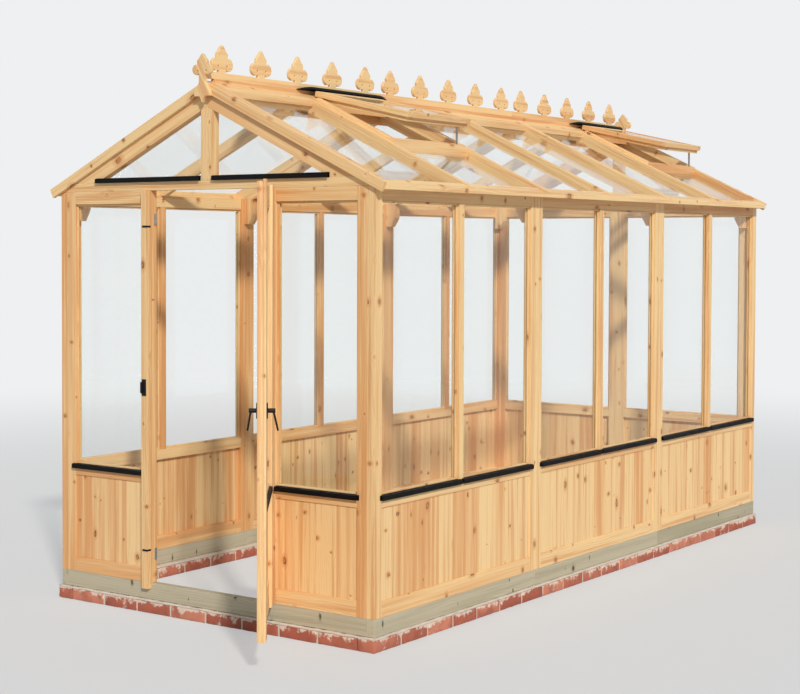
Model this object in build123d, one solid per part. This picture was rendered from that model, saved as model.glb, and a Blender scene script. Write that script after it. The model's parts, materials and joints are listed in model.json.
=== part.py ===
"""Timber greenhouse, three glazed bays long, with one door and a fretted ridge.

Millimetres. X runs across the front gable, Y from the front gable to the back
one, Z up. The origin is at the middle of the front gable, in the plane of its
outer face, on the ground that the brick plinth stands on.
"""
from build123d import *
from math import atan, cos, degrees, radians, sin, tan
import os

# Overall sizes
width = 2040.0
length = 4368.0
wall_height = 1990.0
bays = 3

# Brick plinth and treated base timbers
plinth_height = 70.0
plinth_width = 102.0
plinth_proud = 15.0
base_height = 83.0
base_thickness = 44.0

# Wall panels
wall_thickness = 44.0
stile_width = 58.0
mullion_width = 44.0
bottom_rail_height = 76.0
cill_rail_bottom = 508.0
cill_rail_height = 58.0
top_rail_height = 65.0
board_thickness = 16.0
board_set_back = 6.0
glass_thickness = 4.0
glass_set_back = 22.0
seam_depth = 3.0
seam_width = 3.0

# Drip strips under the panes
strip_height = 25.0
strip_reach = 16.0
strip_fall = 3.0
strip_sheet = 2.5
strip_tongue = 12.0
strip_end_lap = 15.0
strip_door_clearance = 2.0
gable_strip_rise = 23.0

# Doorway, its outside battens and the small irons on them
door_opening = 756.0
latch_batten_width = 42.0
hinge_batten_width = 27.0
batten_thickness = 26.0
batten_drop = 27.0
keep_level = 995.0
keep_height = 84.0
keep_width = 28.0
keep_thickness = 3.0
keep_bridge_height = 56.0
keep_bridge_width = 10.0
keep_bridge_reach = 12.0
keep_edge_distance = 8.0
corner_iron_level = 164.0
corner_iron_top_distance = 187.0
corner_iron_height = 10.0
corner_iron_width = 34.0
corner_iron_thickness = 2.0
catch_end_distance = 146.0
catch_height = 58.0
catch_width = 15.0
catch_thickness = 4.0
catch_set_back = 25.0

# Door leaf
door_stand_off = 8.0
door_latch_lap = 13.0
door_hinge_lap = 9.0
door_foot_gap = 2.0
door_head_lap = 2.0
door_core_thickness = 26.0
door_facing_thickness = 14.0
door_facing_rise = 9.0
door_stile_width = 88.0
door_top_rail = 95.0
door_bottom_rail = 140.0
door_cill_rise = 16.0
door_glass_set_back = 11.0
door_open_angle = 127.3
hinge_radius = 6.0
hinge_edge_gap = 7.0
hinge_seat_gap = 0.5
hinge_height = 90.0
hinge_leaf_thickness = 2.0
hinge_leaf_width = 36.0
hinge_end_distance = 150.0
door_groove_width = 4.0
door_groove_depth = 4.0
handle_height = 1003.0
handle_plate_height = 66.0
handle_plate_width = 40.0
handle_plate_thickness = 5.0
handle_inset = 44.0
handle_boss_radius = 10.0
handle_boss_length = 32.0
handle_lever_radius = 4.5
handle_lever_run = 62.0
handle_lever_fall = 92.0
handle_lever_splay = 18.0
handle_running_gap = 0.5
spindle_radius = 4.0
spindle_clearance = 1.5

# Roof
eave_rise = 45.5
roof_slope = 0.475
eave_overhang = 65.0
eave_rail_drop = 18.0
eave_lip_width = 52.0
eave_lip_below_top = 7.0
bar_width = 32.0
bar_depth = 70.0
main_rafter_width = 58.0
main_rafter_depth = 95.0
glass_below_top = 30.0
ridge_board_thickness = 28.0
ridge_board_proud = 12.0
ridge_board_depth = 140.0
ridge_rail_width = 95.0

# Gables
gable_tie_height = 45.0
king_post_width = 80.0
gable_rafter_depth = 113.0
bargeboard_depth = 48.0
bargeboard_thickness = 20.0

# Ridge cresting: flowers of three petals along a plain band
crest_thickness = 18.0
crest_overhang = 13.0
crest_end_distance = 61.0
crest_band_height = 35.0
crest_boards = 3
crest_board_gap = 0.6
flowers_per_board = 5
flower_end_distance = 120.0
flower_height = 138.0
flower_waist_height = 64.0
flower_waist_half_width = 25.0
flower_bulge_height = 86.0
flower_bulge_half_width = 40.0
flower_neck_height = 105.0
flower_neck_half_width = 27.0
flower_tip_bow = 2.0
flower_lobe_radius = 32.0
flower_lobe_spread = 46.0
flower_lobe_height = 41.0
flower_hole_radius = 5.5
flower_hole_sides = 10
flower_hole_spread = 33.0
flower_hole_height = 33.0

# Gable finials
finial_thickness = 18.0
finial_flower_ratio = 0.8
finial_flower_rise = 20.0
finial_neck_drop = 10.0
finial_shoulder_drop = 60.0
finial_shoulder_half_width = 50.0
finial_shoulder_height = 17.0
finial_spike_half_width = 16.0
finial_spike_length = 31.0

# Roof vents, each standing open between raised kerbs
vent_frame_width = 45.0
vent_frame_thickness = 30.0
vent_glass_rise = 23.0
vent_length = 612.0
vent_kerb_gap = 6.0
vent_hinge_x = 50.0
vent_open_angle = 12.8
vent_seat_gap = 4.0
vent_lip_depth = 22.0
vent_lip_inset = 12.0
vent_lip_start = 70.0
vent_kerb_width = 40.0
vent_kerb_rise = 15.0
vent_trimmer_width = 26.0
vent_trimmer_depth = 42.0
vent_reach_past_trimmer = 38.0
vent_flap_reach = 60.0
vent_flap_fold = [
    (14.0, -4.0),
    (14.0, 11.0),
    (24.0, 27.0),
    (48.0, 29.0),
    (62.0, 15.0),
    (58.0, 15.0),
    (46.5, 26.0),
    (25.5, 24.0),
    (17.0, 10.0),
    (17.0, -4.0),
]
vent_stay_width = 12.0
vent_stay_thickness = 4.0
vent_stay_inset = 20.0

# Knee blocks under the roof's feet
knee_height = 150.0
knee_depth = 70.0
knee_thickness = 58.0
knee_toe_depth = 35.0
knee_shoulder_height = 90.0

# Places worked out from the sizes
half_width = width / 2
ridge_top = wall_height + eave_rise + roof_slope * half_width
wall_bottom = plinth_height + base_height
wall_top = wall_bottom + wall_height
bay_length = length / bays
slope_angle = degrees(atan(roof_slope))
slope_cos = cos(radians(slope_angle))
inner_half = half_width - wall_thickness
cill_rail_top = cill_rail_bottom + cill_rail_height
top_rail_bottom = wall_height - top_rail_height
parts = {}


def block(x0, x1, y0, y1, z0, z1):
    """A box between two corners."""
    middle = Pos((x0 + x1) / 2, (y0 + y1) / 2, (z0 + z1) / 2)
    return middle * Box(x1 - x0, y1 - y0, z1 - z0)


def put(name, *solids):
    """Adds solids to the node of that name."""
    parts.setdefault(name, []).extend(solids)


def profile_y(points, y0, y1):
    """A flat outline in X and Z, drawn from y0 to y1."""
    outline = make_face(Polyline(*[(x, 0, z) for x, z in points], close=True))
    return extrude(Pos(0, y0, 0) * outline, amount=y1 - y0, dir=(0, 1, 0))


def roof_line(x):
    """Height of the roof's top surface above the wall's foot, at x from the ridge."""
    return ridge_top - roof_slope * x


def slope_strip(x0, x1, top, bottom, y0, y1):
    """A member on the right slope, top and bottom measured down from its surface."""
    drop_top = wall_bottom - top / slope_cos
    drop_bottom = wall_bottom - bottom / slope_cos
    points = [
        (x0, roof_line(x0) + drop_top),
        (x1, roof_line(x1) + drop_top),
        (x1, roof_line(x1) + drop_bottom),
        (x0, roof_line(x0) + drop_bottom),
    ]
    return profile_y(points, y0, y1)


def both_slopes(solid):
    """The solid and its mirror image on the left slope."""
    return [solid, mirror(solid, about=Plane.YZ)]


# Where each wall's own frame stands: x along it from its left end seen from
# outside, y inward from its outer face, z up from its foot
right_wall = Pos(half_width, 0, wall_bottom) * Rot(0, 0, 90)
left_wall = Pos(-half_width, length, wall_bottom) * Rot(0, 0, -90)
front_wall = Pos(-inner_half, 0, wall_bottom)
back_wall = Pos(inner_half, length, wall_bottom) * Rot(0, 0, 180)


def drip_strip(x0, x1, z):
    """A folded strip on a face that leads the water off: a flat back, a sloping top, a hanging lip."""
    under = z - strip_fall - strip_sheet
    points = [
        (0, z),
        (-strip_reach, z - strip_fall),
        (-strip_reach, z - strip_height),
        (-strip_reach + strip_sheet, z - strip_height),
        (-strip_reach + strip_sheet, under),
        (-strip_sheet, under),
        (-strip_sheet, z - strip_height),
        (0, z - strip_height),
    ]
    outline = make_face(Polyline(*[(0, y, h) for y, h in points], close=True))
    return extrude(Pos(x0, 0, 0) * outline, amount=x1 - x0, dir=(1, 0, 0))


def wall_bay(name, place, x0, x1, mullions, first_lap=strip_end_lap):
    """Rails, boarding, panes and drip strips between the posts at x0 and x1."""
    thick = wall_thickness
    put(name + "_rails", place * block(x0, x1, 0, thick, 0, bottom_rail_height))
    put(name + "_rails", place * block(x0, x1, 0, thick, cill_rail_bottom, cill_rail_top))
    put(name + "_rails", place * block(x0, x1, 0, thick, top_rail_bottom, wall_height))
    board_back = board_set_back + board_thickness
    boards = block(x0, x1, board_set_back, board_back, bottom_rail_height, cill_rail_bottom)
    put("wall_boarding", place * boards)
    edges = [x0]
    for number in range(mullions):
        middle = x0 + (x1 - x0) * (number + 1) / (mullions + 1)
        left = middle - mullion_width / 2
        right = middle + mullion_width / 2
        put(name + "_posts", place * block(left, right, 0, thick, cill_rail_top, top_rail_bottom))
        edges += [left, right]
    edges.append(x1)
    for left, right in zip(edges[::2], edges[1::2]):
        glass_back = glass_set_back + glass_thickness
        pane = block(left, right, glass_set_back, glass_back, cill_rail_top, top_rail_bottom)
        put("wall_glass", place * pane)
        strip_top = cill_rail_top + strip_sheet
        near = first_lap if left == x0 else strip_end_lap
        strip = drip_strip(left - near, right + strip_end_lap, strip_top)
        strip += block(left, right, 0, strip_tongue, cill_rail_top, strip_top)
        put("drip_strips", place * strip)


def side_wall(name, place):
    """A long wall: two corner stiles, a double post between bays, three bays."""
    thick = wall_thickness
    put(name + "_posts", place * block(0, stile_width, 0, thick, 0, wall_height))
    put(name + "_posts", place * block(length - stile_width, length, 0, thick, 0, wall_height))
    for number in range(1, bays):
        middle = number * bay_length
        post = block(middle - stile_width, middle + stile_width, 0, thick, 0, wall_height)
        seam = block(middle - seam_width / 2, middle + seam_width / 2, 0, seam_depth, 0, wall_height)
        put(name + "_posts", place * (post - seam))
    for number in range(bays):
        start = number * bay_length + stile_width
        end = (number + 1) * bay_length - stile_width
        wall_bay(name, place, start, end, 1)


def end_panel(name, place, x0, x1, first_lap=strip_end_lap):
    """One framed panel of a gable wall."""
    thick = wall_thickness
    put(name + "_posts", place * block(x0, x0 + stile_width, 0, thick, 0, wall_height))
    put(name + "_posts", place * block(x1 - stile_width, x1, 0, thick, 0, wall_height))
    wall_bay(name, place, x0 + stile_width, x1 - stile_width, 0, first_lap)


# Brick plinth
plinth_outer = half_width + plinth_proud
plinth_inner = plinth_outer - plinth_width
for side in (-1, 1):
    x0, x1 = sorted((side * plinth_outer, side * plinth_inner))
    put("side_plinths", block(x0, x1, -plinth_proud, length + plinth_proud, 0, plinth_height))
for start in (-plinth_proud, length + plinth_proud - plinth_width):
    put("end_plinths", block(-plinth_inner, plinth_inner, start, start + plinth_width, 0, plinth_height))

# Treated base timbers
for side in (-1, 1):
    x0, x1 = sorted((side * half_width, side * (half_width - base_thickness)))
    put("side_base_beams", block(x0, x1, 0, length, plinth_height, wall_bottom))
beam_end = half_width - base_thickness
for start in (0, length - base_thickness):
    beam = block(-beam_end, beam_end, start, start + base_thickness, plinth_height, wall_bottom)
    put("end_base_beams", beam)

# Walls
side_wall("right_wall", right_wall)
side_wall("left_wall", left_wall)
front_panel = inner_half - door_opening / 2
end_panel("front_wall", front_wall, 0, front_panel)
hinge_panel = (2 * inner_half - front_panel, 2 * inner_half)
end_panel("front_wall", front_wall, *hinge_panel, -strip_door_clearance)
for left in (0, 2 * inner_half - stile_width):
    corner_post = block(left, left + stile_width, 0, wall_thickness, 0, wall_height)
    put("back_wall_posts", back_wall * corner_post)
middle_post = block(inner_half - stile_width, inner_half + stile_width, 0, wall_thickness, 0, wall_height)
put("back_wall_posts", back_wall * middle_post)
wall_bay("back_wall", back_wall, stile_width, inner_half - stile_width, 0)
wall_bay("back_wall", back_wall, inner_half + stile_width, 2 * inner_half - stile_width, 0)

# Knee blocks inside the side walls, under the roof's feet
for number in range(bays + 1):
    middle = number * bay_length
    start = min(max(middle - knee_thickness / 2, wall_thickness), length - wall_thickness - knee_thickness)
    points = [
        (inner_half, wall_top),
        (inner_half, wall_top - knee_height),
        (inner_half - knee_toe_depth, wall_top - knee_height),
        (inner_half - knee_depth, wall_top - knee_shoulder_height),
        (inner_half - knee_depth, wall_top),
    ]
    put("knee_blocks", *both_slopes(profile_y(points, start, start + knee_thickness)))

# Gable frames, each drawn once and put at both ends
apex = wall_bottom + ridge_top
rafter_drop = gable_rafter_depth / slope_cos
tie_top = wall_height + gable_tie_height
rafter_foot_x = (ridge_top - rafter_drop - tie_top) / roof_slope
rafter_outline = [
    (0, apex),
    (half_width, wall_bottom + roof_line(half_width)),
    (half_width, wall_bottom + tie_top),
    (rafter_foot_x, wall_bottom + tie_top),
    (0, apex - rafter_drop),
]
board_drop = bargeboard_depth / slope_cos
eave_x = half_width + eave_overhang
bargeboard_outline = [
    (0, apex),
    (eave_x, wall_bottom + roof_line(eave_x)),
    (eave_x - bargeboard_depth * sin(radians(slope_angle)),
     wall_bottom + roof_line(eave_x) - bargeboard_depth * cos(radians(slope_angle))),
    (0, apex - board_drop),
]
king_half = king_post_width / 2
king_top = ridge_top - rafter_drop
king_outline = [
    (-king_half, wall_bottom + tie_top),
    (king_half, wall_bottom + tie_top),
    (king_half, wall_bottom + king_top - roof_slope * king_half),
    (0, wall_bottom + king_top),
    (-king_half, wall_bottom + king_top - roof_slope * king_half),
]
gable_pane_outline = [
    (king_half, wall_bottom + tie_top),
    (rafter_foot_x, wall_bottom + tie_top),
    (king_half, wall_bottom + king_top - roof_slope * king_half),
]
front_gable = (0, wall_thickness, -bargeboard_thickness, 0)
back_gable = (length - wall_thickness, length, length, length + bargeboard_thickness)
for frame_start, frame_end, board_start, board_end in (front_gable, back_gable):
    right_rafter, left_rafter = both_slopes(profile_y(rafter_outline, frame_start, frame_end))
    put("right_gable_rafters", right_rafter)
    put("left_gable_rafters", left_rafter)
    right_board, left_board = both_slopes(profile_y(bargeboard_outline, board_start, board_end))
    put("right_bargeboards", right_board)
    put("left_bargeboards", left_board)
    tie = block(-half_width, half_width, frame_start, frame_end, wall_top, wall_bottom + tie_top)
    put("gable_ties", tie)
    put("king_posts", profile_y(king_outline, frame_start, frame_end))
    pane_start = (frame_start + frame_end - glass_thickness) / 2
    pane = profile_y(gable_pane_outline, pane_start, pane_start + glass_thickness)
    put("gable_glass", *both_slopes(pane))
for place in (front_wall, back_wall):
    strip_z = tie_top + gable_strip_rise
    for near, far in ((-rafter_foot_x, -king_half), (king_half, rafter_foot_x)):
        put("drip_strips", place * drip_strip(inner_half + near, inner_half + far, strip_z))

# Ridge board and ridge rails
ridge_half = ridge_board_thickness / 2
ridge_z = wall_bottom + ridge_top + ridge_board_proud
put("ridge_board", block(-ridge_half, ridge_half, wall_thickness, length - wall_thickness,
                         ridge_z - ridge_board_depth, ridge_z))

# Eave rails along both long walls
cap_depth = glass_below_top + glass_thickness
under_glass = cap_depth / slope_cos
pane_end = eave_x - eave_lip_width
eave_points = [
    (half_width, wall_top - eave_rail_drop),
    (eave_x, wall_top - eave_rail_drop),
    (eave_x, wall_bottom + roof_line(eave_x) - eave_lip_below_top),
    (pane_end, wall_bottom + roof_line(pane_end) - eave_lip_below_top),
    (pane_end, wall_bottom + roof_line(pane_end) - under_glass),
    (half_width, wall_bottom + roof_line(half_width) - under_glass),
]
put("eave_rails", *both_slopes(profile_y(eave_points, 0, length)))

# Rafters over the posts and glazing bars over the mullions


def roof_bar(middle, bar_w, depth):
    """A bar from the ridge board to the wall, its thin end running on over the eave rail."""
    stem_end = (ridge_top - depth / slope_cos - wall_height) / roof_slope
    points = [
        (ridge_half, roof_line(ridge_half)),
        (eave_x, roof_line(eave_x)),
        (eave_x, roof_line(eave_x) - eave_lip_below_top),
        (pane_end, roof_line(pane_end) - eave_lip_below_top),
        (pane_end, roof_line(pane_end) - under_glass),
        (half_width, roof_line(half_width) - under_glass),
        (half_width, wall_height),
        (stem_end, wall_height),
        (ridge_half, roof_line(ridge_half) - depth / slope_cos),
    ]
    return profile_y([(x, z + wall_bottom) for x, z in points], middle - bar_w / 2, middle + bar_w / 2)


for number in range(2 * bays - 1):
    middle = (number + 1) * bay_length / 2
    if number % 2:
        put("main_rafters", *both_slopes(roof_bar(middle, main_rafter_width, main_rafter_depth)))
    else:
        put("glazing_bars", *both_slopes(roof_bar(middle, bar_width, bar_depth)))

# Roof panes between the bars, the vented bays glazed below their trimmers
vent_bays = (1, 5)
ridge_rail_end = ridge_half + ridge_rail_width * slope_cos
vent_trimmer_x = vent_hinge_x + (vent_length - vent_reach_past_trimmer) * slope_cos
trimmer_end = vent_trimmer_x + vent_trimmer_width * slope_cos


def bay_edges(number):
    """Front and back edge of half bay number, between its bars."""
    start = number * bay_length / 2
    end = (number + 1) * bay_length / 2
    widths = {0: 2 * wall_thickness, 2 * bays: 2 * wall_thickness}
    front = widths.get(number, bar_width if number % 2 else main_rafter_width) / 2
    back = widths.get(number + 1, main_rafter_width if number % 2 else bar_width) / 2
    return start + front, end - back


for number in range(2 * bays):
    y0, y1 = bay_edges(number)
    whole = slope_strip(ridge_half, pane_end, glass_below_top, cap_depth, y0, y1)
    rail = slope_strip(ridge_half, ridge_rail_end, 0, glass_below_top, y0, y1)
    if number in vent_bays:
        put("roof_glass", mirror(whole, about=Plane.YZ))
        put("roof_glass", slope_strip(trimmer_end, pane_end, glass_below_top, cap_depth, y0, y1))
        put("ridge_rails", mirror(rail, about=Plane.YZ))
        deep = vent_trimmer_depth
        put("vent_trimmers", slope_strip(ridge_half, ridge_rail_end, 0, deep, y0, y1))
        put("vent_trimmers", slope_strip(vent_trimmer_x, trimmer_end, -vent_kerb_rise, deep, y0, y1))
        for edge in (y0, y1 - vent_kerb_width):
            kerb_end = edge + vent_kerb_width
            kerb = slope_strip(ridge_rail_end, vent_trimmer_x, -vent_kerb_rise, deep, edge, kerb_end)
            put("vent_kerbs", kerb)
    else:
        put("roof_glass", *both_slopes(whole))
        put("ridge_rails", *both_slopes(rail))

# Open vents on the right slope: a glazed frame hinged under the ridge
vent_angle = slope_angle - vent_open_angle
vent_slope = tan(radians(vent_angle))
vent_hinge_z = wall_bottom + roof_line(vent_hinge_x) + vent_seat_gap
for number in vent_bays:
    kerb0, kerb1 = bay_edges(number)
    y0 = kerb0 + vent_kerb_width + vent_kerb_gap
    y1 = kerb1 - vent_kerb_width - vent_kerb_gap
    place = Pos(vent_hinge_x, 0, vent_hinge_z) * Rot(0, vent_angle, 0)
    thick = vent_frame_thickness
    wide = vent_frame_width
    inner0 = y0 + wide
    inner1 = y1 - wide
    lip_end = vent_length - vent_lip_inset
    for outer, inner, lip in ((y0, inner0, y0 + vent_lip_inset), (y1, inner1, y1 - vent_lip_inset)):
        low, high = sorted((outer, inner))
        stile = block(0, vent_length, low, high, 0, thick)
        low, high = sorted((lip, inner))
        stile += block(vent_lip_start, lip_end, low, high, -vent_lip_depth, 0)
        put("vent_stiles", place * stile)
    put("vent_rails", place * block(0, wide, inner0, inner1, 0, thick))
    low_rail = block(vent_length - wide, vent_length, inner0, inner1, 0, thick)
    low_rail += block(vent_length - wide, lip_end, inner0, inner1, -vent_lip_depth, 0)
    put("vent_rails", place * low_rail)
    pane_top = vent_glass_rise + glass_thickness
    put("vent_glass", place * block(wide, vent_length - wide, inner0, inner1, vent_glass_rise, pane_top))
    flap_points = [(x, wall_bottom + ridge_top + rise) for x, rise in vent_flap_fold]
    flap_end = min(kerb1 + vent_flap_reach, length - wall_thickness)
    put("vent_flaps", profile_y(flap_points, kerb0 - vent_flap_reach, flap_end))
    stay_x = vent_trimmer_x + (trimmer_end - vent_trimmer_x - vent_stay_width) / 2
    stay_end = stay_x + vent_stay_width
    stay_foot = wall_bottom + vent_kerb_rise / slope_cos
    stay_head = vent_hinge_z - vent_lip_depth / cos(radians(vent_angle))
    stay_points = [
        (stay_x, roof_line(stay_x) + stay_foot),
        (stay_end, roof_line(stay_end) + stay_foot),
        (stay_end, stay_head - (stay_end - vent_hinge_x) * vent_slope),
        (stay_x, stay_head - (stay_x - vent_hinge_x) * vent_slope),
    ]
    stay_y = y1 - vent_lip_inset - vent_stay_inset
    put("vent_stays", profile_y(stay_points, stay_y, stay_y + vent_stay_thickness))

# Ridge cresting


def flower_outline():
    """A flat flower of three petals on its stem, drawn with arcs, its foot at the origin."""
    tip = (0, flower_height)
    slant_height = (flower_neck_height + flower_height + flower_tip_bow) / 2
    slant = ((flower_neck_half_width + flower_tip_bow) / 2, slant_height)
    neck = (flower_neck_half_width, flower_neck_height)
    bulge = (flower_bulge_half_width, flower_bulge_height)
    waist = (flower_waist_half_width, flower_waist_height)
    base = (flower_waist_half_width, 0)
    with BuildSketch() as sketch:
        for side in (1, -1):
            with BuildLine():
                points = [(side * x, y) for x, y in (tip, slant, neck, bulge, waist, base)]
                ThreePointArc(*points[0:3])
                ThreePointArc(*points[2:5])
                Polyline(points[4], points[5], (0, 0), points[0])
            make_face()
        with Locations((-flower_lobe_spread, flower_lobe_height), (flower_lobe_spread, flower_lobe_height)):
            Circle(flower_lobe_radius)
        with Locations((-flower_hole_spread, flower_hole_height), (flower_hole_spread, flower_hole_height)):
            RegularPolygon(flower_hole_radius, flower_hole_sides, mode=Mode.SUBTRACT)
    return sketch.sketch


flower = flower_outline()
band_top = ridge_z + crest_band_height
crest_board_length = (length + crest_overhang - crest_end_distance) / crest_boards
flower_spacing = (crest_board_length - 2 * flower_end_distance) / (flowers_per_board - 1)
for number in range(crest_boards):
    y0 = number * crest_board_length - crest_overhang
    y1 = y0 + crest_board_length - crest_board_gap
    board = block(-crest_thickness / 2, crest_thickness / 2, y0, y1, ridge_z, band_top)
    for index in range(flowers_per_board):
        middle = y0 + flower_end_distance + index * flower_spacing
        outline = Plane.YZ * Pos(middle, band_top) * flower
        board += extrude(outline, amount=crest_thickness / 2, both=True)
    put("ridge_cresting", board)

# Finials on the bargeboards' meeting: a flower over shoulders and a pendant spike
finial_foot = wall_bottom + ridge_top + finial_flower_rise
finial_neck = wall_bottom + ridge_top - finial_neck_drop
finial_shoulder = wall_bottom + ridge_top - finial_shoulder_drop
finial_base = finial_shoulder - finial_shoulder_height
neck_half = flower_waist_half_width * finial_flower_ratio
shoulder_points = [
    (-neck_half, finial_foot),
    (neck_half, finial_foot),
    (neck_half, finial_neck),
    (finial_shoulder_half_width, finial_shoulder),
    (finial_shoulder_half_width, finial_base),
    (finial_spike_half_width, finial_base),
    (0, finial_base - finial_spike_length),
    (-finial_spike_half_width, finial_base),
    (-finial_shoulder_half_width, finial_base),
    (-finial_shoulder_half_width, finial_shoulder),
    (-neck_half, finial_neck),
]
finial_outline = Plane.XZ * Pos(0, finial_foot) * scale(flower, by=finial_flower_ratio)
finial_head = extrude(finial_outline, amount=finial_thickness / 2, both=True)
finial = finial_head + profile_y(shoulder_points, -finial_thickness / 2, finial_thickness / 2)
front_finial_y = -bargeboard_thickness - finial_thickness / 2
back_finial_y = length + bargeboard_thickness + finial_thickness / 2
put("finials", Pos(0, front_finial_y, 0) * finial, Pos(0, back_finial_y, 0) * finial)

# Door battens, and the irons that the shut door meets on the latch side
half_opening = door_opening / 2
batten_bottom = wall_bottom - batten_drop
batten_face = -batten_thickness
latch_batten = block(-half_opening - latch_batten_width, -half_opening, batten_face, 0,
                     batten_bottom, wall_top)
iron_edge = -half_opening - corner_iron_width
iron_face = batten_face - corner_iron_thickness
for low in (wall_bottom + corner_iron_level, wall_top - corner_iron_top_distance):
    high = low + corner_iron_height
    iron = block(iron_edge, -half_opening, iron_face, batten_face, low, high)
    iron += block(-half_opening - corner_iron_thickness, -half_opening, iron_face, 0, low, high)
    latch_batten -= iron
    put("corner_irons", iron)
put("door_battens", latch_batten)
put("door_battens", block(half_opening, half_opening + hinge_batten_width, batten_face, 0,
                          batten_bottom, wall_top))
keep_x = -half_opening - keep_edge_distance - keep_width
keep_z = wall_bottom + keep_level
keep_face = batten_face - keep_thickness
bridge_end = keep_x + keep_bridge_width
keep = block(keep_x, keep_x + keep_width, keep_face, batten_face,
             keep_z - keep_height / 2, keep_z + keep_height / 2)
keep += block(keep_x, bridge_end, keep_face - keep_bridge_reach, batten_face,
              keep_z - keep_bridge_height / 2, keep_z + keep_bridge_height / 2)
put("door_keep", keep)
for level in (wall_bottom + catch_end_distance, wall_top - catch_end_distance):
    put("door_catches", block(-half_opening, -half_opening + catch_thickness,
                              catch_set_back, catch_set_back + catch_width,
                              level - catch_height / 2, level + catch_height / 2))

# Door leaf, drawn shut in front of the battens and then turned open about its hinge pins
door_back = batten_face - door_stand_off
core_front = door_back - door_core_thickness
door_front = core_front - door_facing_thickness
leaf_left = -half_opening - door_latch_lap
leaf_right = half_opening + door_hinge_lap
leaf_bottom = wall_bottom + door_foot_gap
leaf_top = wall_top + door_head_lap
facing_top = leaf_top + door_facing_rise
hinge_x = leaf_right + hinge_edge_gap
hinge_y = batten_face - hinge_radius - hinge_seat_gap
door_turn = Pos(hinge_x, hinge_y, 0) * Rot(0, 0, door_open_angle) * Pos(-hinge_x, -hinge_y, 0)


def put_door(name, *solids):
    """Adds solids drawn on the shut door to a node, turned open."""
    put(name, *[door_turn * solid for solid in solids])


rail_left = leaf_left + door_stile_width
rail_right = leaf_right - door_stile_width
door_cill_bottom = wall_bottom + cill_rail_bottom + door_cill_rise
door_cill_top = door_cill_bottom + cill_rail_height
rail_levels = (
    (leaf_bottom, leaf_bottom + door_bottom_rail),
    (door_cill_bottom, door_cill_top),
    (leaf_top - door_top_rail, leaf_top),
)
for low, high in rail_levels:
    put_door("door_rails", block(rail_left, rail_right, core_front, door_back, low, high))
put_door("door_boarding", block(rail_left, rail_right, core_front + board_set_back,
                                core_front + board_set_back + board_thickness,
                                leaf_bottom + door_bottom_rail, door_cill_bottom))
put_door("door_glass", block(rail_left, rail_right, core_front + door_glass_set_back,
                             core_front + door_glass_set_back + glass_thickness,
                             door_cill_top, leaf_top - door_top_rail))
door_strip = drip_strip(rail_left, rail_right, door_cill_top)
put_door("door_drip_strip", Pos(0, core_front, 0) * door_strip)

handle_x = leaf_left + handle_inset
handle_z = wall_bottom + handle_height
across = Rot(90, 0, 0)
plates_back = door_back + handle_plate_thickness
plates_front = door_front - handle_plate_thickness
hole = Pos(handle_x, (door_front + door_back) / 2, handle_z) * across
hole = hole * Cylinder(spindle_radius + spindle_clearance, plates_back - plates_front)
groove = block(leaf_left, leaf_left + door_groove_depth, core_front - door_groove_width / 2,
               core_front + door_groove_width / 2, leaf_bottom, leaf_top)
for start in (leaf_left, rail_right):
    end = start + door_stile_width
    stile = block(start, end, core_front, door_back, leaf_bottom, leaf_top)
    stile += block(start, end, door_front, core_front, leaf_bottom, facing_top)
    put_door("door_stiles", stile - hole - groove)
for y0, y1 in ((plates_front, door_front), (door_back, plates_back)):
    plate = block(handle_x - handle_plate_width / 2, handle_x + handle_plate_width / 2, y0, y1,
                  handle_z - handle_plate_height / 2, handle_z + handle_plate_height / 2)
    put_door("door_handle_plates", plate - hole)
handle_front = plates_front - handle_running_gap - handle_boss_length
handle_back = plates_back + handle_running_gap + handle_boss_length
spindle_middle = Pos(handle_x, (handle_front + handle_back) / 2, handle_z) * across
handle = spindle_middle * Cylinder(spindle_radius, handle_back - handle_front)
lever_length = (handle_lever_run ** 2 + handle_lever_fall ** 2 + handle_lever_splay ** 2) ** 0.5
upright = (Align.CENTER, Align.CENTER, Align.MIN)
for end, inward in ((handle_front, 1), (handle_back, -1)):
    boss = Pos(handle_x, end + inward * handle_boss_length / 2, handle_z) * across
    handle += boss * Cylinder(handle_boss_radius, handle_boss_length)
    start = (handle_x, end + inward * 2 * handle_lever_radius, handle_z)
    way = (handle_lever_run, -inward * handle_lever_splay, -handle_lever_fall)
    handle += Plane(origin=start, z_dir=way) * Cylinder(handle_lever_radius, lever_length, align=upright)
put_door("door_handles", handle)

for level in (wall_bottom + hinge_end_distance, wall_top - hinge_end_distance):
    knuckle = Pos(hinge_x, hinge_y, level) * Cylinder(hinge_radius, hinge_height)
    leaf_plate = block(hinge_x - hinge_leaf_width, hinge_x, door_back, door_back + hinge_leaf_thickness,
                       level - hinge_height / 2, level + hinge_height / 2)
    put_door("door_hinges", knuckle + leaf_plate)

os.makedirs("parts", exist_ok=True)
for name, solids in parts.items():
    node = solids[0] if len(solids) == 1 else Compound(children=solids)
    node.label = name
    export_step(node, "parts/" + name + ".step")
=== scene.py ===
"""Looks of the timber greenhouse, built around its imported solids. Metres."""
import json
import random
from math import cos, radians, sin

import bmesh
import bpy
from mathutils import Matrix, Vector, noise


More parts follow.
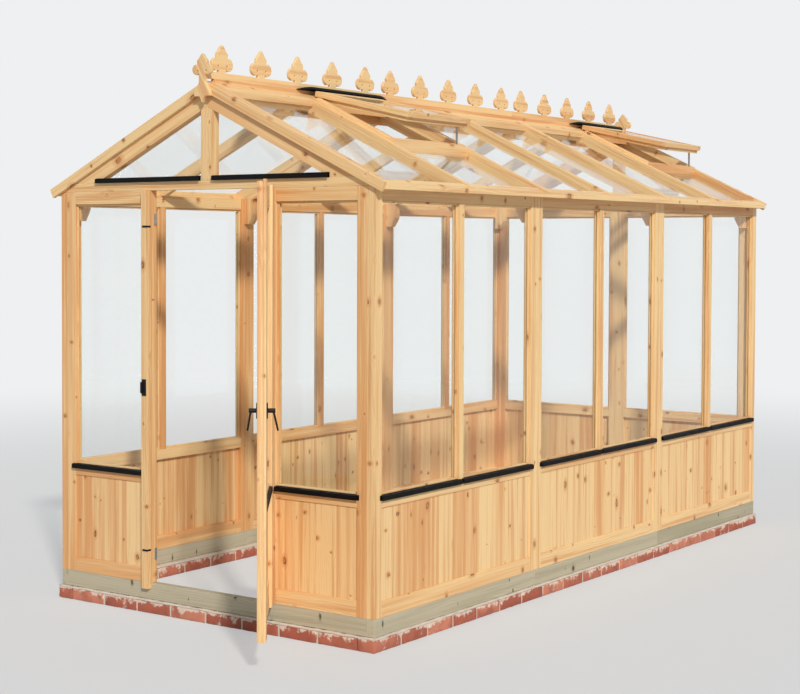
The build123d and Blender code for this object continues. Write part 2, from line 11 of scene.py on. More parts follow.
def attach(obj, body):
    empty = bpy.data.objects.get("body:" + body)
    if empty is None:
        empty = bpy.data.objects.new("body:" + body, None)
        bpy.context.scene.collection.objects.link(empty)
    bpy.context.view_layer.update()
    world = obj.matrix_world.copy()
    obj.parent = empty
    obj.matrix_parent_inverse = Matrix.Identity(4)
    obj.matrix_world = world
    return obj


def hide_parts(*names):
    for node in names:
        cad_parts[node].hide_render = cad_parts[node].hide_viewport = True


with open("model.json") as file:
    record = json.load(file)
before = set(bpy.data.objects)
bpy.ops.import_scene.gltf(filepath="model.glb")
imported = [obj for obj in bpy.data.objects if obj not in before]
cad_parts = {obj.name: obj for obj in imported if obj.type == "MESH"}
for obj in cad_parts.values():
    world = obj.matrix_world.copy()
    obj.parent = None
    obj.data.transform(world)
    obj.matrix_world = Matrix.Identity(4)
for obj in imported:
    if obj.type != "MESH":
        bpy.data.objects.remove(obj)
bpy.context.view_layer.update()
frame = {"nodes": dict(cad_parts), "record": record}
nodes = frame["nodes"]
dice = random.Random(7)
node_body = {}
for body, members in frame["record"]["behaviour"]["bodies"].items():
    for member in members:
        node_body[member] = body


# Camera, as the photograph was taken
camera_place = (5.396, -6.05, 1.873)
yaw = radians(35.36)
pitch = radians(-1.83)
roll = radians(0.20)
forward = Vector((-sin(yaw) * cos(pitch), cos(yaw) * cos(pitch), sin(pitch)))
level_right = Vector((cos(yaw), sin(yaw), 0))
level_up = level_right.cross(forward)
right = level_right * cos(roll) + level_up * sin(roll)
up = level_up * cos(roll) - level_right * sin(roll)
camera_data = bpy.data.cameras.new("camera")
camera_data.sensor_width = 36
camera_data.lens = 73.79
camera_data.shift_x = 0.0126
camera_data.shift_y = -0.0621
camera = bpy.data.objects.new("camera", camera_data)
turned = Matrix((right, up, -forward)).transposed()
camera.matrix_world = Matrix.Translation(camera_place) @ turned.to_4x4()
bpy.context.scene.collection.objects.link(camera)
bpy.context.scene.camera = camera
bpy.context.scene.view_settings.view_transform = "Standard"


# Shader building
def srgb(red, green, blue):
    """A colour given as it looks on a screen, 0 to 255, as Blender's own numbers."""
    linear = []
    for value in (red, green, blue):
        share = value / 255
        linear.append(share / 12.92 if share <= 0.04045 else ((share + 0.055) / 1.055) ** 2.4)
    return (*linear, 1.0)


class Shader:
    """A material and short calls that add nodes to it."""

    def __init__(self, name):
        self.material = bpy.data.materials.new(name)
        self.material.use_nodes = True
        self.tree = self.material.node_tree
        self.surface = self.tree.nodes["Principled BSDF"]

    def add(self, kind, inputs=None, **settings):
        """A node, with a link or a fixed value on each input named."""
        node = self.tree.nodes.new("ShaderNode" + kind)
        for key, value in settings.items():
            setattr(node, key, value)
        for key, value in (inputs or {}).items():
            if isinstance(value, bpy.types.NodeSocket):
                self.tree.links.new(value, node.inputs[key])
            else:
                node.inputs[key].default_value = value
        return node

    def math(self, operation, *values, clamp=False):
        made = self.add("Math", dict(enumerate(values)), operation=operation, use_clamp=clamp)
        return made.outputs[0]

    def vector(self, operation, *values):
        made = self.add("VectorMath", dict(enumerate(values)), operation=operation)
        return made.outputs["Value" if operation == "LENGTH" else "Vector"]

    def scaled(self, value, x, y, z):
        return self.vector("MULTIPLY", value, (x, y, z))

    def noise(self, vector, scale=1.0, detail=2.0, rough=0.5):
        inputs = {"Vector": vector, "Scale": scale, "Detail": detail, "Roughness": rough}
        return self.add("TexNoise", inputs).outputs[0]

    def step(self, value, low, high, out_low=0.0, out_high=1.0):
        """Goes smoothly from out_low to out_high as the value goes from low to high."""
        inputs = {"Value": value, "From Min": low, "From Max": high, "To Min": out_low, "To Max": out_high}
        return self.add("MapRange", inputs, interpolation_type="SMOOTHSTEP").outputs[0]

    def mix(self, share, first, second):
        made = self.add("Mix", data_type="RGBA", blend_type="MIX", clamp_factor=True)
        for socket, value in ((made.inputs[0], share), (made.inputs[6], first), (made.inputs[7], second)):
            if isinstance(value, bpy.types.NodeSocket):
                self.tree.links.new(value, socket)
            else:
                socket.default_value = value
        return made.outputs[2]

    def attribute(self, name):
        return self.add("Attribute", attribute_name=name)

    def finish(self, colour=None, roughness=None, height=None, depth=0.0005, **fixed):
        """Joins these to the surface; fixed sets its other inputs, with _ for a space."""
        if colour is not None:
            self.tree.links.new(colour, self.surface.inputs["Base Color"])
        if roughness is not None:
            self.tree.links.new(roughness, self.surface.inputs["Roughness"])
        if height is not None:
            bump = self.add("Bump", {"Height": height, "Strength": 1.0, "Distance": depth})
            self.tree.links.new(bump.outputs[0], self.surface.inputs["Normal"])
        for key, value in fixed.items():
            self.surface.inputs[key.replace("_", " ")].default_value = value
        return self.material


def timber_shader(name, light, deep, tan, late, knot, rim, halo, knotty=0.5, ring_share=0.3,
                  depth=0.0002, stretch=1.1, knot_sizes=(0.0035, 0.0115)):
    """Sawn softwood: rings and streaks along each timber's own length, and knots."""
    s = Shader(name)
    grain = s.attribute("grain").outputs["Vector"]
    tone = s.attribute("tone").outputs["Fac"]
    parts = s.add("SeparateXYZ", {0: grain})
    along = parts.outputs[0]
    across = s.math("ADD", parts.outputs[1], s.math("MULTIPLY", parts.outputs[2], 0.7))
    # Knots lie in cells along and across the timber, some of them empty, and differ in length
    cell_length = 0.24
    cell_width = 0.085
    cell_along = s.math("DIVIDE", along, cell_length)
    cell_across = s.math("DIVIDE", across, cell_width)
    spot = s.add("CombineXYZ", {0: cell_along, 1: cell_across}).outputs[0]
    cells = {"Vector": spot, "Scale": 1.0, "Randomness": 0.95}
    found = s.add("TexVoronoi", cells, voronoi_dimensions="2D")
    apart = s.vector("SUBTRACT", spot, found.outputs["Position"])
    chance = s.add("SeparateColor", {0: found.outputs["Color"]})
    longer = s.step(chance.outputs[1], 0.0, 1.0, 1.5, 0.6)
    apart = s.scaled(apart, cell_length / stretch, cell_width, 1.0)
    apart = s.vector("MULTIPLY", apart, s.add("CombineXYZ", {0: longer, 1: 1.0, 2: 1.0}).outputs[0])
    wobble = s.noise(s.scaled(grain, 60, 90, 90), detail=2.0)
    uneven = s.math("MULTIPLY", s.math("SUBTRACT", wobble, 0.5), 0.011)
    reach = s.math("ADD", s.vector("LENGTH", apart), uneven)
    size = s.step(chance.outputs[0], 1 - knotty, 1.0, *knot_sizes)
    shown = s.math("GREATER_THAN", chance.outputs[0], 1 - knotty)
    share = s.math("DIVIDE", reach, size)
    core = s.math("MULTIPLY", shown, s.math("SUBTRACT", 1.0, s.step(share, 0.75, 1.1)))
    patchy = s.noise(s.scaled(grain, 26, 70, 70), detail=0.0)
    edge = s.math("MULTIPLY", s.step(patchy, 0.42, 0.58), s.step(share, 0.3, 0.75))
    ring = s.math("MULTIPLY", shown, s.math("SUBTRACT", 1.0, s.step(share, 0.9, 2.6)))
    # Growth rings run along the timber and bend round the knots
    near = s.math("MULTIPLY", shown, s.math("SUBTRACT", 1.0, s.step(reach, 0.0, 0.045)))
    sideways = s.add("SeparateXYZ", {0: apart}).outputs[1]
    bent = s.math("SUBTRACT", across, s.math("MULTIPLY", s.math("MULTIPLY", sideways, near), 0.85))
    drift = s.noise(s.scaled(grain, 1.1, 7, 7), detail=3.0, rough=0.55)
    rings_per_metre = 82.0
    wave = s.math("ADD", s.math("MULTIPLY", bent, rings_per_metre), s.math("MULTIPLY", drift, 9.0))
    saw = s.math("FRACT", wave)
    late_band = s.math("MULTIPLY", s.step(saw, 0.35, 0.86), s.math("SUBTRACT", 1.0, s.step(saw, 0.93, 1.0)))
    streak = s.noise(s.scaled(grain, 0.9, 34, 34), detail=3.0, rough=0.6)
    broad = s.noise(s.scaled(grain, 0.5, 9, 9), detail=2.0)
    late_band = s.math("MULTIPLY", late_band, s.step(broad, 0.4, 0.62, 1.0, 0.2))
    fibre = s.noise(s.scaled(grain, 9, 420, 420), detail=2.0)
    # The timber's own shade, then streaks, rings and fibre, and the knots last
    colour = s.mix(s.step(tone, 0.0, 1.0), light, deep)
    colour = s.mix(s.step(streak, 0.47, 0.66, 0.0, 0.75), colour, tan)
    colour = s.mix(s.step(streak, 0.34, 0.5, 0.75, 0.0), colour, light)
    colour = s.mix(s.step(broad, 0.45, 0.7, 0.0, 0.4), colour, light)
    colour = s.mix(s.math("MULTIPLY", late_band, ring_share), colour, late)
    colour = s.mix(s.math("MULTIPLY", s.step(fibre, 0.55, 0.8), 0.25), colour, late)
    colour = s.mix(s.math("MULTIPLY", ring, 0.55), colour, halo)
    colour = s.mix(s.math("MULTIPLY", core, 0.9), colour, s.mix(edge, knot, rim))
    rough = s.step(streak, 0.3, 0.7, 0.62, 0.48)
    height = s.math("ADD", s.math("MULTIPLY", fibre, 0.5), s.math("MULTIPLY", late_band, 0.35))
    return s.finish(colour, rough, height, depth)


pine_colours = {
    "light": srgb(245, 210, 153),
    "deep": srgb(225, 162, 102),
    "tan": srgb(216, 152, 92),
    "late": srgb(198, 134, 78),
    "knot": srgb(186, 126, 74),
    "rim": srgb(88, 50, 27),
    "halo": srgb(208, 142, 84),
}
pine = timber_shader("pine", **pine_colours, knot_sizes=(0.0035, 0.0145))
pine_boards = timber_shader(
    "pine_boards", **pine_colours, ring_share=0.2, knot_sizes=(0.0035, 0.0135))
faint_knots = {**pine_colours, "rim": srgb(134, 86, 52)}
pine_posts = timber_shader("pine_posts", **faint_knots, knotty=0.38, ring_share=0.28)
pine_cut = timber_shader("pine_cut", **pine_colours, knotty=0.1, ring_share=0.14)
treated = timber_shader(
    "treated_timber",
    light=srgb(194, 184, 158),
    deep=srgb(166, 158, 132),
    tan=srgb(168, 158, 128),
    late=srgb(136, 130, 104),
    knot=srgb(66, 56, 40),
    rim=srgb(34, 29, 20),
    halo=srgb(132, 122, 92),
    knotty=0.6,
    ring_share=0.3,
    depth=0.0005,
    stretch=0.5,
    knot_sizes=(0.006, 0.015),
)


def brick_shader():
    """Red brick, each its own shade, with pale mortar smeared along its top."""
    s = Shader("brick")
    place = s.add("TexCoord").outputs["Object"]
    tone = s.attribute("tone").outputs["Fac"]
    dark_brick = srgb(172, 92, 70)
    pale_brick = srgb(206, 132, 106)
    burnt = srgb(146, 80, 64)
    sandy = srgb(216, 160, 134)
    lime = srgb(226, 208, 190)
    smear_foot = 0.02
    smear_top = 0.066
    blotch = s.noise(place, 14, 4.0, 0.6)
    fine = s.noise(place, 160, 3.0, 0.6)
    colour = s.mix(tone, dark_brick, pale_brick)
    colour = s.mix(s.step(blotch, 0.42, 0.7, 0.0, 0.6), colour, burnt)
    colour = s.mix(s.step(fine, 0.6, 0.8, 0.0, 0.5), colour, sandy)
    level = s.add("SeparateXYZ", {0: place}).outputs[2]
    higher = s.step(level, smear_foot, smear_top, -0.1, 0.1)
    smear = s.math("ADD", s.noise(place, 17, 5.0, 0.7), higher)
    colour = s.mix(s.step(smear, 0.5, 0.6, 0.0, 0.85), colour, lime)
    height = s.math("ADD", fine, s.math("MULTIPLY", blotch, 0.6))
    return s.finish(colour, None, height, 0.0012, Roughness=0.9)


def mortar_shader():
    """Pale lime mortar with sand in it."""
    s = Shader("mortar")
    place = s.add("TexCoord").outputs["Object"]
    pale_lime = srgb(232, 220, 206)
    grey_lime = srgb(202, 186, 168)
    sand_grain = srgb(168, 150, 130)
    blotch = s.noise(place, 18, 4.0, 0.6)
    sand = s.noise(place, 420, 2.0, 0.7)
    colour = s.mix(blotch, pale_lime, grey_lime)
    colour = s.mix(s.step(sand, 0.6, 0.75, 0.0, 0.45), colour, sand_grain)
    return s.finish(colour, None, s.math("ADD", sand, blotch), 0.0015, Roughness=0.95)


def metal_shader(name, plain, worn, metallic, roughness, scale, gloss):
    """Painted or galvanised iron with faint mottling."""
    s = Shader(name)
    place = s.add("TexCoord").outputs["Object"]
    patch = s.noise(place, scale, 3.0, 0.6)
    fine = s.noise(place, scale * 9, 2.0, 0.6)
    colour = s.mix(s.step(patch, 0.45, 0.72, 0.0, 0.8), plain, worn)
    rough = s.step(patch, 0.3, 0.75, roughness - 0.08, roughness + 0.12)
    return s.finish(colour, rough, fine, 0.00015, Metallic=metallic, Specular_IOR_Level=gloss)


brick = brick_shader()
mortar = mortar_shader()
black_iron = metal_shader(
    "black_iron",
    plain=srgb(14, 13, 13),
    worn=srgb(28, 26, 25),
    metallic=0.0,
    roughness=0.45,
    scale=60,
    gloss=0.25,
)
galvanised = metal_shader(
    "galvanised",
    plain=srgb(176, 178, 180),
    worn=srgb(138, 141, 144),
    metallic=0.9,
    roughness=0.45,
    scale=90,
    gloss=0.5,
)
black_trim = metal_shader(
    "black_trim",
    plain=srgb(10, 9, 9),
    worn=srgb(21, 19, 18),
    metallic=0.0,
    roughness=0.62,
    scale=25,
    gloss=0.12,
)


def glass_shader(name, tint, clear):
    """Thin clear glass: clear is the share that light crosses unbent, mirroring only at its faces."""
    s = Shader(name)
    through_colour = (0.985, 0.992, 0.988, 1.0)
    mirror_facing = 0.02
    mirror_grazing = 0.6
    s.finish(Base_Color=tint, Roughness=0.0, IOR=1.5, Transmission_Weight=1.0)
    open_way = s.add("BsdfTransparent", {"Color": through_colour})
    mirror = s.add("BsdfAnisotropic", {"Color": (1.0, 1.0, 1.0, 1.0), "Roughness": 0.0})
    slope = s.add("LayerWeight", {"Blend": 0.5}).outputs["Facing"]
    grazing = s.math("MULTIPLY", s.math("POWER", slope, 5.0), mirror_grazing)
    share = s.math("ADD", grazing, mirror_facing, clamp=True)
    sheet = s.add("MixShader", {0: share, 1: open_way.outputs[0], 2: mirror.outputs[0]})
    joined = s.add("MixShader", {0: clear, 1: s.surface.outputs[0], 2: sheet.outputs[0]})
    # Light on its way to or from a plain surface passes unbent
    path = s.add("LightPath")
    crossing = s.math("MAXIMUM", path.outputs["Is Shadow Ray"], path.outputs["Is Diffuse Ray"])
    joined = s.add("MixShader", {0: crossing, 1: joined.outputs[0], 2: open_way.outputs[0]})
    s.tree.links.new(joined.outputs[0], s.tree.nodes["Material Output"].inputs["Surface"])
    return s.material


wall_pane = glass_shader("wall_pane", srgb(250, 253, 252), 0.985)
roof_pane = glass_shader("roof_pane", srgb(248, 252, 253), 0.97)


# Meshes
weld_reach = 0.00002
flat_within = radians(0.6)
sharp_above = radians(25)
square_within = 0.02
grain_shift = 30
pale_bias = 1.5


def linked_parts(mesh):
    """The vertices of each separate solid, in the order of the mesh."""
    left = set(mesh.verts)
    found = []
    for first in mesh.verts:
        if first not in left:
            continue
        left.discard(first)
        group = [first]
        for vert in group:
            for edge in vert.link_edges:
                other = edge.other_vert(vert)
                if other in left:
                    left.discard(other)
                    group.append(other)
        found.append(group)
    return found


def faced(way):
    """The same direction, turned so that its largest part is positive."""
    largest = max(range(3), key=lambda i: abs(way[i]))
    return way if way[largest] > 0 else -way


def own_axes(group):
    """A solid's own directions: along its longest edge, then across it, then through it."""
    edges = {edge for vert in group for edge in vert.link_edges}
    ways = [faced(edge.verts[1].co - edge.verts[0].co) for edge in edges]
    # A set has no fixed order, so edges of one length are put in order by their direction
    ways.sort(key=lambda way: (-round(way.length, 5), *way))
    along = ways[0].normalized()
    unit_ways = [way.normalized() for way in ways]
    across = next((way for way in unit_ways if abs(way.dot(along)) < square_within), None)
    if across is None:
        across = along.orthogonal().normalized()
    return along, across, along.cross(across)


def mark_timbers(mesh, tones=(0.0, 1.0)):
    """Writes each solid's own coordinates and its shade, for the timber and brick shaders."""
    grain = mesh.verts.layers.float_vector.new("grain")
    tone = mesh.verts.layers.float.new("tone")
    for group in linked_parts(mesh):
        axes = own_axes(group)
        shift = Vector([dice.uniform(-grain_shift, grain_shift) for _ in range(3)])
        shade = tones[0] + (tones[1] - tones[0]) * dice.random() ** pale_bias
        for vert in group:
            vert[grain] = Vector([vert.co.dot(axis) for axis in axes]) + shift
            vert[tone] = shade


def soften(mesh, edges, width, segments=2):
    """Rounds these edges."""
    bmesh.ops.bevel(mesh, geom=edges, offset=width, offset_type="OFFSET", segments=segments,
                    profile=0.6, affect="EDGES", clamp_overlap=True)


def make_piece(name, mesh, material, body, smooth_below=None):
    """Turns a mesh being built into an object that rides on a body."""
    bmesh.ops.recalc_face_normals(mesh, faces=mesh.faces)
    data = bpy.data.meshes.new(name)
    mesh.to_mesh(data)
    mesh.free()
    if smooth_below:
        data.shade_smooth()
        data.set_sharp_from_angle(angle=radians(smooth_below))
    data.materials.append(material)
    piece = bpy.data.objects.new(name, data)
    bpy.context.scene.collection.objects.link(piece)
    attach(piece, body)
    return piece


def node_mesh(name):
    """A copy of a node's solids with whole flat faces."""
    mesh = bmesh.new()
    mesh.from_mesh(nodes[name].data)
    bmesh.ops.remove_doubles(mesh, verts=mesh.verts, dist=weld_reach)
    bmesh.ops.dissolve_limit(mesh, angle_limit=flat_within, verts=mesh.verts, edges=mesh.edges)
    return mesh


def sharp_edges(mesh):
    """Edges where two faces meet at a clear angle."""
    paired = [edge for edge in mesh.edges if len(edge.link_faces) == 2]
    return [edge for edge in paired if edge.calc_face_angle() > sharp_above]


def dress(name, material, width, tones=(0.0, 1.0), segments=2, smooth_below=None):
    """A piece that stands for a node: the same solids with softened edges and marked grain."""
    mesh = node_mesh(name)
    soften(mesh, sharp_edges(mesh), width, segments)
    mark_timbers(mesh, tones)
    piece = make_piece(name + "_dressed", mesh, material, node_body[name], smooth_below)
    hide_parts(name)


def add_block(mesh, low, high, axes, width):
    """A box with softened edges, from low to high along its own axes."""
    middle = [(a + b) / 2 for a, b in zip(low, high)]
    sizes = [b - a for a, b in zip(low, high)]
    turn = Matrix(axes).transposed()
    place = Matrix.Translation(turn @ Vector(middle)) @ turn.to_4x4() @ Matrix.Diagonal((*sizes, 1))
    made = bmesh.ops.create_cube(mesh, size=1.0, matrix=place)
    edges = list(dict.fromkeys(edge for vert in made["verts"] for edge in vert.link_edges))
    soften(mesh, edges, min(width, min(sizes) * 0.3))


def solid_boxes(name):
    """Each solid of a node as its axes with its lowest and highest reach along them."""
    mesh = node_mesh(name)
    found = []
    for group in linked_parts(mesh):
        axes = own_axes(group)
        reach = [[vert.co.dot(axis) for vert in group] for axis in axes]
        found.append((axes, [min(r) for r in reach], [max(r) for r in reach]))
    mesh.free()
    return found


def standing_boxes(name):
    """The same boxes with their axes in the order up, along the wall, through the wall."""
    for axes, low, high in solid_boxes(name):
        order = sorted(range(3), key=lambda i: -abs(axes[i].z))
        order[1:] = sorted(order[1:], key=lambda i: low[i] - high[i])
        yield [axes[i] for i in order], [low[i] for i in order], [high[i] for i in order]


# Plain timbers keep their solids and get softened arrises and their own grain
timber_arris = 0.0025
fretted_arris = 0.0012
beam_arris = 0.002
strip_arris = 0.0008
iron_arris = 0.0006
sheet_arris = 0.0004
usual_tones = (0.1, 0.8)
plain_timbers = [
    "back_wall_rails", "front_wall_posts", "front_wall_rails",
    "left_wall_rails", "right_wall_rails", "back_wall_posts",
    "left_wall_posts", "right_wall_posts",
    "gable_ties", "king_posts", "left_bargeboards", "right_bargeboards",
    "left_gable_rafters", "right_gable_rafters",
    "eave_rails", "ridge_board", "ridge_rails", "main_rafters", "glazing_bars",
    "vent_trimmers", "vent_kerbs", "vent_stiles", "vent_rails",
    "door_battens", "door_stiles", "door_rails", "knee_blocks",
]
tones = {
    "door_stiles": (0.3, 0.4),
    "king_posts": (0.2, 0.4),
    # The ridge board's darkest shades are in part painted shade, as under the cresting, and the ridge
    # rails' pale shades are in part painted light, as on their tops facing up; the rest is the boards' own
    # tone.
    "ridge_board": (0.9, 1.0),
    "ridge_rails": (0.2, 0.4),
    "glazing_bars": (0.0, 0.25),
    "main_rafters": (0.0, 0.25),
    "left_wall_posts": (0.8, 1.0),
    "right_wall_posts": (0.0, 0.3),
    "front_wall_posts": (0.5, 0.9),
    "gable_ties": (0.0, 0.2),
    "left_bargeboards": (0.1, 0.3),
    "right_bargeboards": (0.1, 0.3),
    "eave_rails": (0.1, 0.5),
}
for name in plain_timbers:
    material = pine_posts if "posts" in name or "stiles" in name else pine
    dress(name, material, timber_arris, tones.get(name, usual_tones))
for name in ("ridge_cresting", "finials"):
    dress(name, pine_cut, fretted_arris, (0.1, 0.45), segments=1)
dress("end_base_beams", treated, beam_arris)
for name in ("drip_strips", "door_drip_strip"):
    dress(name, black_trim, strip_arris)
for name in ("door_handle_plates", "door_keep", "corner_irons"):
    dress(name, black_iron, iron_arris, smooth_below=30)
for name in ("door_catches", "door_hinges", "vent_stays"):
    dress(name, galvanised, sheet_arris, smooth_below=30)


# Handles and panes stay as they are, with their own materials
kept_nodes = {
    "door_handles": black_iron,
    "wall_glass": wall_pane,
    "gable_glass": wall_pane,
    "door_glass": wall_pane,
    "roof_glass": roof_pane,
    "vent_glass": roof_pane,
}
for name, material in kept_nodes.items():
    nodes[name].data.materials.clear()
    nodes[name].data.materials.append(material)


# Vent flaps: a sheet held at the ridge, lifted by the vent and drooping past its ends
flap_foot = 0.004
flap_sheet = 0.0022
flap_sections = 9
flap_taper = 1.6
# Cross sections down the slope, as distances from the ridge's middle and over its foot
flap_high = [(0.014, 0.011), (0.024, 0.026), (0.036, 0.0295), (0.048, 0.028), (0.061, 0.015)]
flap_tip = [(0.014, 0.011), (0.016, 0.012), (0.018, 0.0125), (0.020, 0.012), (0.022, 0.010)]


def flap_point(share, index, thick):
    """A point of the sheet between its tip (0) and over the vent (1), this far above its lower face."""
    tip = Vector(flap_tip[index])
    high = Vector(flap_high[index])
    return tip.lerp(high, share) + Vector((0, thick))


def reach_along(name, axis):
    """The lowest and highest reach of each solid of a node along one axis, and its lowest level."""
    mesh = node_mesh(name)
    found = []
    for group in linked_parts(mesh):
        places = [vert.co[axis] for vert in group]
        found.append((min(places), max(places), min(vert.co.z for vert in group)))
    mesh.free()
    return found


flaps = bmesh.new()
for start, end, foot in reach_along("vent_flaps", 1):
    ridge_level = foot + flap_foot
    sides = [place for place in reach_along("vent_stiles", 1) if start < place[0] and place[1] < end]
    tips = (min(place[0] for place in sides) - start, end - max(place[1] for place in sides))
    stations = []
    for number in range(flap_sections):
        part = number / (flap_sections - 1)
        widened = 1 - (1 - part) ** flap_taper
        stations.append((start + part * tips[0], widened))
        stations.append((end - part * tips[1], widened))
    stations.sort()
    rows = []
    for y, widened in stations:
        row = []
        for thick in (0.0, flap_sheet):
            for index in range(len(flap_high)):
                x, rise = flap_point(widened, index, thick)
                row.append(flaps.verts.new((x, y, ridge_level + rise)))
        rows.append(row)
    count = len(flap_high)
    loop = list(range(count)) + list(range(2 * count - 1, count - 1, -1))
    for one, two in zip(rows, rows[1:]):
        for a, b in zip(loop, loop[1:] + loop[:1]):
            flaps.faces.new((one[a], one[b], two[b], two[a]))
    for row in (rows[0], rows[-1]):
        flaps.faces.new([row[i] for i in loop])
piece = make_piece("vent_flap_sheets", flaps, black_trim, "building", smooth_below=50)
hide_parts("vent_flaps")


# Base timbers along the sides, butted at the bays
bays = 3
beams = bmesh.new()
for axes, low, high in standing_boxes("side_base_beams"):
    bay_run = (high[1] - low[1]) / bays
    for number in range(bays):
        start = low[1] + number * bay_run
        add_block(beams, (low[0], start, low[2]), (high[0], start + bay_run, high[2]), axes, beam_arris)
mark_timbers(beams)
piece = make_piece("side_base_beams_dressed", beams, treated, "building")
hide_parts("side_base_beams")


# Boarding: upright boards with small V joints between them
board_width = 0.118
board_arris = 0.0014
board_gap = 0.0004
for name in ("wall_boarding", "door_boarding"):
    mesh = bmesh.new()
    for axes, low, high in standing_boxes(name):
        count = max(2, round((high[1] - low[1]) / board_width))
        board_run = (high[1] - low[1]) / count
        for number in range(count):
            start = low[1] + number * board_run
            end = start + board_run - (board_gap if number < count - 1 else 0)
            add_block(mesh, (low[0], start, low[2]), (high[0], end, high[2]), axes, board_arris)
    mark_timbers(mesh, (0.05, 1.0))
    piece = make_piece(name + "_boards", mesh, pine_boards, node_body[name])
    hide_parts(name)


# Glazing beads round each wall pane, on both faces
bead_size = 0.010
bead_arris = 0.003
for name in ("wall_glass", "door_glass"):
    mesh = bmesh.new()
    for axes, low, high in standing_boxes(name):
        for near, far in ((low[2] - bead_size, low[2]), (high[2], high[2] + bead_size)):
            for foot in (low[0], high[0] - bead_size):
                add_block(mesh, (foot, low[1], near), (foot + bead_size, high[1], far), axes, bead_arris)
            for side in (low[1], high[1] - bead_size):
                bead_low = (low[0] + bead_size, side, near)
                bead_high = (high[0] - bead_size, side + bead_size, far)
                add_block(mesh, bead_low, bead_high, axes, bead_arris)
    mark_timbers(mesh, (0.0, 0.5))
    make_piece(name + "_beads", mesh, pine, node_body[name])


# Brick plinth
wear_scale = 45


def worn_block(mesh, low, high, cell, round_off, rough, seed):
    """A block with a lattice surface, rounded and roughened inward."""
    stations = []
    for a, b in zip(low, high):
        inner = max(1, round((b - a - 2 * round_off) / cell))
        run = (b - a - 2 * round_off) / inner
        stations.append([a] + [a + round_off + run * i for i in range(inner + 1)] + [b])
    verts = {}
    seed_shift = Vector((seed * 3.1, seed * 1.7, seed * 2.3))

    def vert(index):
        if index not in verts:
            point = Vector([stations[i][index[i]] for i in range(3)])
            core = Vector([min(max(point[i], low[i] + round_off), high[i] - round_off) for i in range(3)])
            away = point - core
            if away.length > round_off:
                away = away.normalized() * round_off
            away *= 1 - rough * abs(noise.noise(point * wear_scale + seed_shift)) * 2
            verts[index] = mesh.verts.new(core + away)
        return verts[index]

    last = [len(s) - 1 for s in stations]
    for axis in range(3):
        one, two = [i for i in range(3) if i != axis]
        for end in (0, last[axis]):
            for i in range(last[one]):
                for j in range(last[two]):
                    corners = []
                    for di, dj in ((0, 0), (1, 0), (1, 1), (0, 1)):
                        index = [0, 0, 0]
                        index[axis], index[one], index[two] = end, i + di, j + dj
                        corners.append(vert(tuple(index)))
                    mesh.faces.new(corners)


brick_pitch = 0.225
brick_joint = 0.010
brick_cell = 0.022
brick_round = 0.005
brick_wear = 0.45
height_spread = 0.004
face_spread = 0.002
joint_setback = 0.006
joint_end = 0.002
mortar_cell = 0.02
joint_round = 0.003
joint_wear = 0.4
bed_height = 0.009
bed_overlap = 0.003
bed_round = 0.004
bed_wear = 0.95
joint_seed = 50
bed_seed = 90
for name in ("side_plinths", "end_plinths"):
    bricks = bmesh.new()
    joints = bmesh.new()
    source = node_mesh(name)
    seed = 0
    for group in linked_parts(source):
        low = [min(vert.co[i] for vert in group) for i in range(3)]
        high = [max(vert.co[i] for vert in group) for i in range(3)]
        run = 0 if high[0] - low[0] > high[1] - low[1] else 1
        through = 1 - run
        count = round((high[run] - low[run]) / brick_pitch)
        brick_run = (high[run] - low[run]) / count
        for number in range(count):
            seed += 1
            brick_low = list(low)
            brick_high = list(high)
            joint_before = brick_joint / 2 if number else 0
            joint_after = brick_joint / 2 if number < count - 1 else 0
            brick_low[run] = low[run] + number * brick_run + joint_before
            brick_high[run] = low[run] + (number + 1) * brick_run - joint_after
            brick_high[2] = high[2] - bed_height - dice.uniform(0, height_spread)
            setback = dice.uniform(0, face_spread)
            brick_low[through] += setback
            brick_high[through] -= setback
            worn_block(bricks, brick_low, brick_high, brick_cell, brick_round, brick_wear, seed)
        core_low = list(low)
        core_high = list(high)
        core_low[through] += joint_setback
        core_high[through] -= joint_setback
        core_low[run] += joint_end
        core_high[run] -= joint_end
        core_high[2] = high[2] - bed_height
        worn_block(joints, core_low, core_high, mortar_cell, joint_round, joint_wear, seed + joint_seed)
        bed_low = list(low)
        bed_low[2] = high[2] - bed_height - bed_overlap
        worn_block(joints, bed_low, high, mortar_cell, bed_round, bed_wear, seed + bed_seed)
    source.free()
    mark_timbers(bricks)
    piece = make_piece(name + "_bricks", bricks, brick, "building", smooth_below=50)
    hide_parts(name)
    make_piece(name + "_mortar", joints, mortar, "building", smooth_below=50)


# Pale surroundings: a world that lights softly, and that the camera, metal and glass see paler
pale = (0.86, 0.87, 0.88, 1.0)
sky_colour = (0.86, 0.91, 1.0, 1.0)
sky_strength = 0.36
floor_reach = 60
floor_middle = (0, 2.2, 0)


def seen_ray(tree):
    """A socket that is 1 for the rays of the camera, of gloss and through glass."""
    path = tree.nodes.new("ShaderNodeLightPath")
    seen = path.outputs["Is Camera Ray"]
    for other in ("Is Glossy Ray", "Is Transmission Ray"):
        either = tree.nodes.new("ShaderNodeMath")
        either.operation = "MAXIMUM"
        tree.links.new(seen, either.inputs[0])
        tree.links.new(path.outputs[other], either.inputs[1])
        seen = either.outputs[0]
    return seen


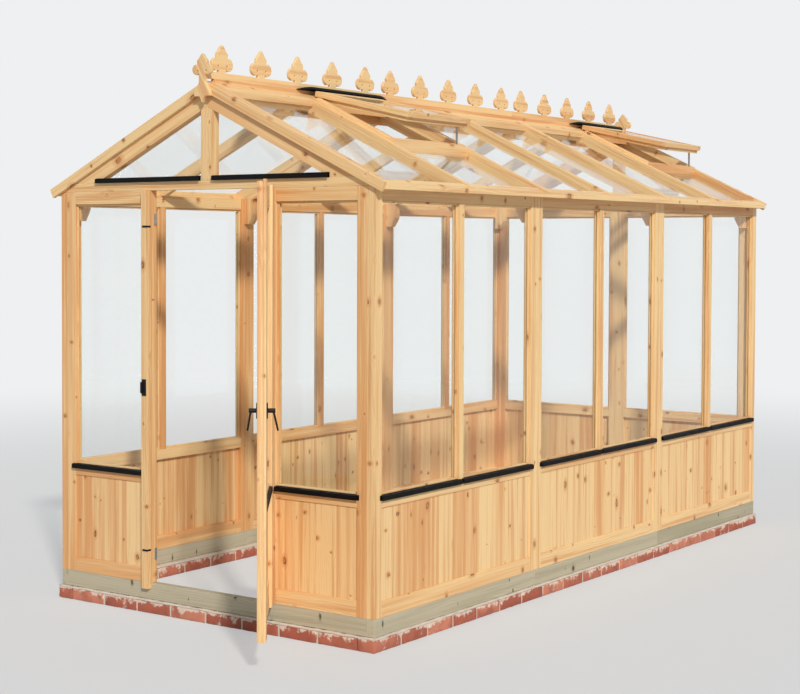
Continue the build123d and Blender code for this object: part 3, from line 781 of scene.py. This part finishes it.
def floor_shader(colour, near_glow, near, far):
    """A plain floor that fades into the pale surroundings away from the object."""
    s = Shader("floor")
    s.finish(Base_Color=colour, Roughness=0.9)
    place = s.add("TexCoord").outputs["Object"]
    away = s.step(s.vector("LENGTH", place), near, far, near_glow, 1.0)
    glow = s.add("Emission", {"Color": pale, "Strength": 1.0})
    share = s.math("MULTIPLY", away, seen_ray(s.tree))
    joined = s.add("MixShader", {0: share, 1: s.surface.outputs[0], 2: glow.outputs[0]})
    s.tree.links.new(joined.outputs[0], s.tree.nodes["Material Output"].inputs["Surface"])
    return s.material


floor_data = bpy.data.meshes.new("floor")
floor_signs = [(-1, -1), (1, -1), (1, 1), (-1, 1)]
floor_corners = [(x * floor_reach, y * floor_reach, 0) for x, y in floor_signs]
floor_data.from_pydata(floor_corners, [], [(0, 1, 2, 3)])
floor_data.materials.append(floor_shader(srgb(208, 208, 206), near_glow=0.45, near=4.0, far=13.0))
floor = bpy.data.objects.new("floor", floor_data)
floor.location = floor_middle
bpy.context.scene.collection.objects.link(floor)

world = bpy.data.worlds.new("world")
bpy.context.scene.world = world
world.use_nodes = True
tree = world.node_tree
sky = tree.nodes["Background"]
sky.inputs["Color"].default_value = sky_colour
sky.inputs["Strength"].default_value = sky_strength
backdrop = tree.nodes.new("ShaderNodeBackground")
backdrop.inputs["Color"].default_value = pale
backdrop.inputs["Strength"].default_value = 1.0
choose = tree.nodes.new("ShaderNodeMixShader")
tree.links.new(seen_ray(tree), choose.inputs[0])
tree.links.new(sky.outputs[0], choose.inputs[1])
tree.links.new(backdrop.outputs[0], choose.inputs[2])
tree.links.new(choose.outputs[0], tree.nodes["World Output"].inputs["Surface"])


# One soft key light from the front right, low enough for the eaves to shade the walls' heads
key_data = bpy.data.lights.new("key", "SUN")
key_data.energy = 2.65
key_data.angle = radians(4)
key_data.color = (1.0, 0.975, 0.935)
key = bpy.data.objects.new("key", key_data)
key_height = radians(33)
key_right = 0.76
key_front = 0.65
key_level = cos(key_height)
key_way = Vector((key_right * key_level, -key_front * key_level, sin(key_height)))
key.matrix_world = key_way.to_track_quat("Z", "Y").to_matrix().to_4x4()
bpy.context.scene.collection.objects.link(key)
